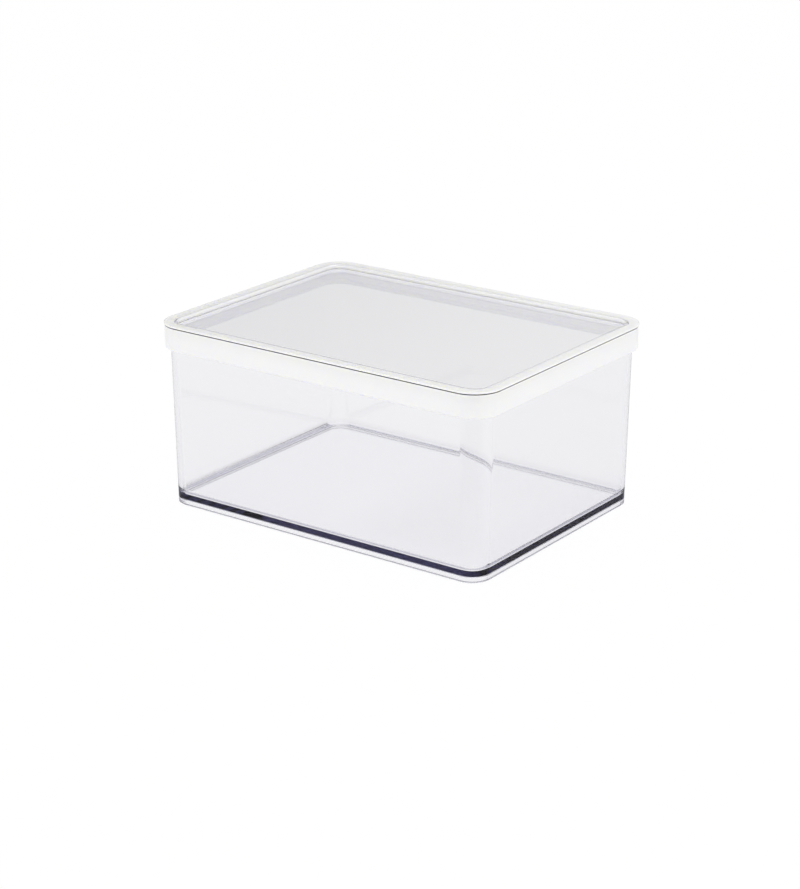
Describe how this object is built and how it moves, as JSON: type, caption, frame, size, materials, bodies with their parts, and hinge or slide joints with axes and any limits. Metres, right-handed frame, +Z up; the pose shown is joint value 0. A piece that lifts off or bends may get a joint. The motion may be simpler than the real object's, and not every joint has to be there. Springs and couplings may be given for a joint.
{
  "type": "storage canister",
  "caption": "Clear rectangular storage canister: drafted tub with a thick floor on a hollow foot, closed by a lift-off lid with a sunken clear window, a white skirt and a soft seal.",
  "frame": {"origin": "middle of the canister's plan, on the plane that the foot rests on", "axes": "+Z up through the lid, +X along the length, +Y along the width"},
  "size_m": [0.2, 0.15, 0.096],
  "materials": {
    "clear_tub": "clear, polished, with a faint violet tint in thick sections",
    "clear_panel": "clear, polished",
    "white_frame": "white, satin",
    "white_seal": "white, soft, matte"
  },
  "bodies": {
    "tub": {"container": "clear_tub"},
    "lid": {"lid_panel": "clear_panel", "lid_frame": "white_frame", "lid_seal": "white_seal"}
  },
  "joints": [
    {"name": "lid_lift", "type": "slide", "parent": "tub", "child": "lid", "axis": [0, 0, 1], "range_m": [0, 0.15]}
  ]
}
